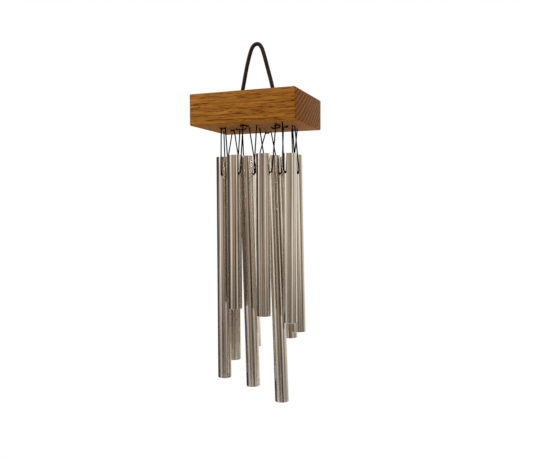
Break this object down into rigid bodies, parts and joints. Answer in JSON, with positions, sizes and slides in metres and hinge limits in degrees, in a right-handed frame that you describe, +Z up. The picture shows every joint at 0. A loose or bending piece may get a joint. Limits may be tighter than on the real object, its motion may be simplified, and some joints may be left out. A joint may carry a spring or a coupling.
{
  "type": "wind chime",
  "caption": "Hanging wind chime: rectangular oak block on a cord loop, with hollow metal tubes of graded length slung from its underside on thin black cord.",
  "frame": {"origin": "underside of the hanging loop's top, where a hook or nail bears", "axes": "+Z up; +X along the block's long edge; -Y is the front long face"},
  "size_m": [0.074, 0.058, 0.2477],
  "materials": {
    "oak": "oiled oak, satin, open grain with short dark pores",
    "tube_metal": "polished drawn tube, warm silver",
    "black_cord": "thin waxed polyester cord, matte black",
    "loop_cord": "round leather cord, dark brown"
  },
  "bodies": {
    "block": {"oak_block": "oak", "hanging_loop": "loop_cord", "lacing_run_1": "black_cord", "lacing_run_2": "black_cord", "lacing_run_3": "black_cord", "lacing_run_4": "black_cord", "lacing_run_5": "black_cord", "lacing_run_6": "black_cord", "lacing_run_7": "black_cord", "lacing_run_8": "black_cord"},
    "sling_01": {"sling_01": "black_cord"},
    "tube_01": {"tube_01": "tube_metal"},
    "sling_02": {"sling_02": "black_cord"},
    "tube_02": {"tube_02": "tube_metal"},
    "sling_03": {"sling_03": "black_cord"},
    "tube_03": {"tube_03": "tube_metal"},
    "sling_04": {"sling_04": "black_cord"},
    "tube_04": {"tube_04": "tube_metal"},
    "sling_05": {"sling_05": "black_cord"},
    "tube_05": {"tube_05": "tube_metal"},
    "sling_06": {"sling_06": "black_cord"},
    "tube_06": {"tube_06": "tube_metal"},
    "sling_07": {"sling_07": "black_cord"},
    "tube_07": {"tube_07": "tube_metal"},
    "sling_08": {"sling_08": "black_cord"},
    "tube_08": {"tube_08": "tube_metal"},
    "sling_09": {"sling_09": "black_cord"},
    "tube_09": {"tube_09": "tube_metal"},
    "sling_10": {"sling_10": "black_cord"},
    "tube_10": {"tube_10": "tube_metal"}
  },
  "joints": [
    {"name": "sling_01_swing", "type": "hinge", "parent": "block", "child": "sling_01", "pos_m": [-0.0262, 0, -0.056], "axis": [-0.3256, 0.9455, 0], "range_deg": [-1.2, 30]},
    {"name": "tube_01_swing", "type": "hinge", "parent": "sling_01", "child": "tube_01", "pos_m": [-0.0262, 0, -0.0875], "axis": [-0.2079, 0.9781, 0], "range_deg": [-1.2, 20]},
    {"name": "sling_02_swing", "type": "hinge", "parent": "block", "child": "sling_02", "pos_m": [-0.025, 0.0145, -0.056], "axis": [-0.4695, 0.8829, 0], "range_deg": [-0.3, 12]},
    {"name": "tube_02_swing", "type": "hinge", "parent": "sling_02", "child": "tube_02", "pos_m": [-0.025, 0.0145, -0.0875], "axis": [0.9816, -0.1908, 0], "range_deg": [-0.3, 6]},
    {"name": "sling_03_swing", "type": "hinge", "parent": "block", "child": "sling_03", "pos_m": [-0.0156, 0.0225, -0.056], "axis": [0.9945, -0.1045, 0], "range_deg": [-0.5, 30]},
    {"name": "tube_03_swing", "type": "hinge", "parent": "sling_03", "child": "tube_03", "pos_m": [-0.0156, 0.0225, -0.0875], "axis": [0.8387, -0.5446, 0], "range_deg": [-0.5, 8]},
    {"name": "sling_04_swing", "type": "hinge", "parent": "block", "child": "sling_04", "pos_m": [-0.012, -0.0125, -0.056], "axis": [-0.9455, 0.3256, 0], "range_deg": [-0.25, 30]},
    {"name": "tube_04_swing", "type": "hinge", "parent": "sling_04", "child": "tube_04", "pos_m": [-0.012, -0.0125, -0.0875], "axis": [-0.8829, 0.4695, 0], "range_deg": [-0.25, 8]},
    {"name": "sling_05_swing", "type": "hinge", "parent": "block", "child": "sling_05", "pos_m": [-0.0076, -0.0015, -0.056], "axis": [0.6691, -0.7431, 0], "range_deg": [-0.25, 0.8]},
    {"name": "tube_05_swing", "type": "hinge", "parent": "sling_05", "child": "tube_05", "pos_m": [-0.0076, -0.0015, -0.0875], "axis": [0.9903, 0.1392, 0], "range_deg": [-0.25, 0.8]},
    {"name": "sling_06_swing", "type": "hinge", "parent": "block", "child": "sling_06", "pos_m": [0.0101, -0.0155, -0.056], "axis": [-0.9336, 0.3584, 0], "range_deg": [-1, 30]},
    {"name": "tube_06_swing", "type": "hinge", "parent": "sling_06", "child": "tube_06", "pos_m": [0.0101, -0.0155, -0.0875], "axis": [-0.9976, 0.0698, 0], "range_deg": [-1, 20]},
    {"name": "sling_07_swing", "type": "hinge", "parent": "block", "child": "sling_07", "pos_m": [0.0108, 0.0035, -0.056], "axis": [0.9903, 0.1392, 0], "range_deg": [-0.7, 1.5]},
    {"name": "tube_07_swing", "type": "hinge", "parent": "sling_07", "child": "tube_07", "pos_m": [0.0108, 0.0035, -0.0875], "axis": [0.9703, -0.2419, 0], "range_deg": [-0.7, 1.5]},
    {"name": "sling_08_swing", "type": "hinge", "parent": "block", "child": "sling_08", "pos_m": [0.0144, 0.018, -0.056], "axis": [0.9336, -0.3584, 0], "range_deg": [-0.8, 30]},
    {"name": "tube_08_swing", "type": "hinge", "parent": "sling_08", "child": "tube_08", "pos_m": [0.0144, 0.018, -0.0875], "axis": [0.9336, -0.3584, 0], "range_deg": [-0.8, 20]},
    {"name": "sling_09_swing", "type": "hinge", "parent": "block", "child": "sling_09", "pos_m": [0.0259, 0.0055, -0.056], "axis": [0.2079, -0.9781, 0], "range_deg": [-0.5, 30]},
    {"name": "tube_09_swing", "type": "hinge", "parent": "sling_09", "child": "tube_09", "pos_m": [0.0259, 0.0055, -0.0875], "axis": [0.5878, -0.809, 0], "range_deg": [-0.5, 12]},
    {"name": "sling_10_swing", "type": "hinge", "parent": "block", "child": "sling_10", "pos_m": [0.0268, -0.0105, -0.056], "axis": [-0.0698, -0.9976, 0], "range_deg": [-1, 30]},
    {"name": "tube_10_swing", "type": "hinge", "parent": "sling_10", "child": "tube_10", "pos_m": [0.0268, -0.0105, -0.0875], "axis": [-0.2756, -0.9613, 0], "range_deg": [-1, 20]}
  ]
}
